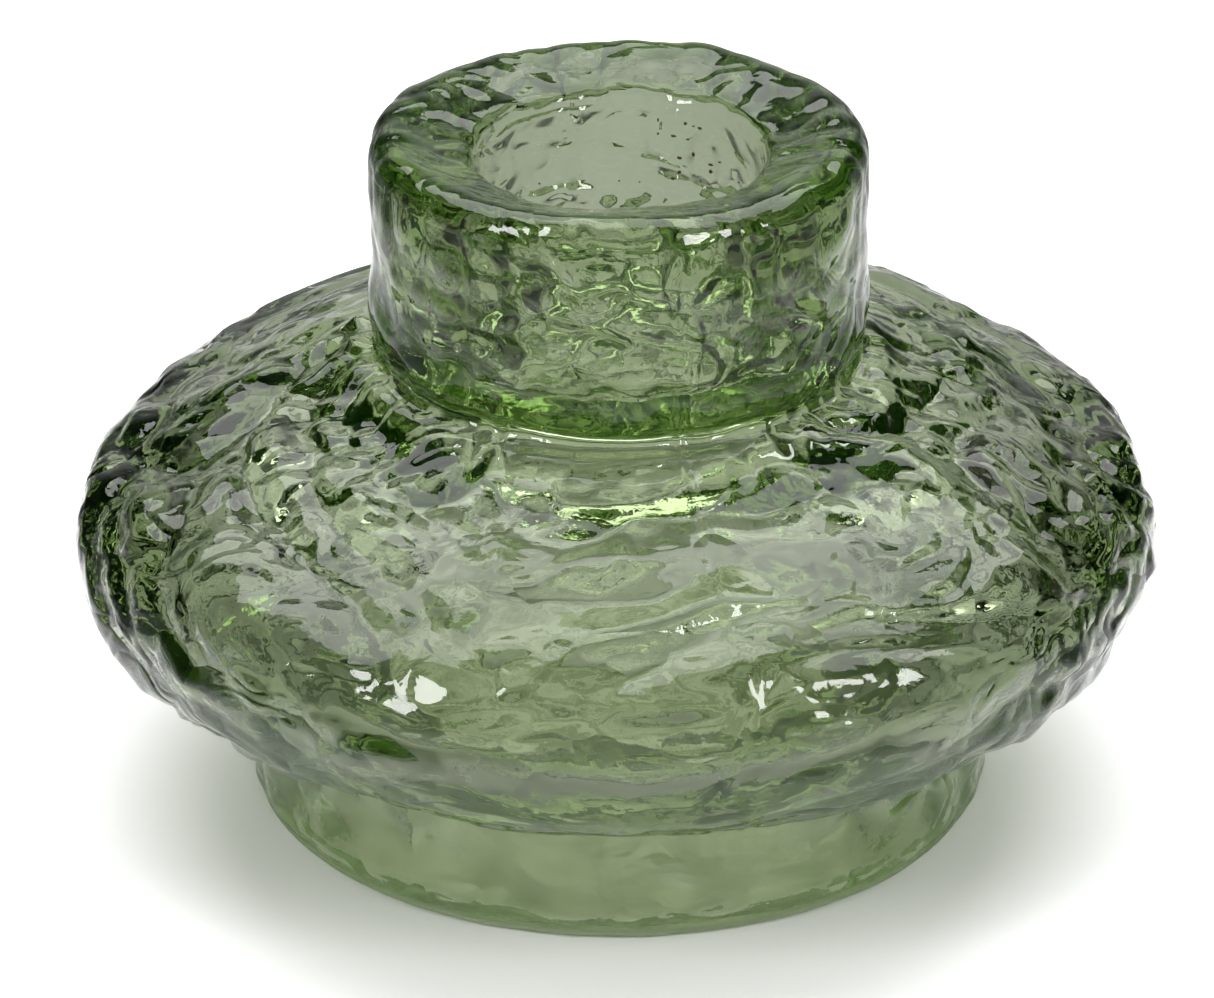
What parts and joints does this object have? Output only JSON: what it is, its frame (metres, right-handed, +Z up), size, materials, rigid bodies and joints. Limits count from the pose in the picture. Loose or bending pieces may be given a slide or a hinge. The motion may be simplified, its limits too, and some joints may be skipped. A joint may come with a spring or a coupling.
{
  "type": "candlestick",
  "caption": "Squat hollow glass candlestick with a thick-walled neck, a blind socket for a taper candle, a wide flattened bark-textured body and a plain round foot, open underneath.",
  "frame": {"origin": "centre of the ring that the foot stands on, at table level", "axes": "+Z up along the axis of the candle, +X to the viewer's right and -Y towards the viewer"},
  "size_m": [0.084, 0.084, 0.055],
  "materials": {
    "green_glass": "clear moulded glass, glossy, pale green where it is thick"
  },
  "bodies": {
    "root": {"foot": "green_glass", "body": "green_glass", "neck": "green_glass"}
  },
  "joints": []
}
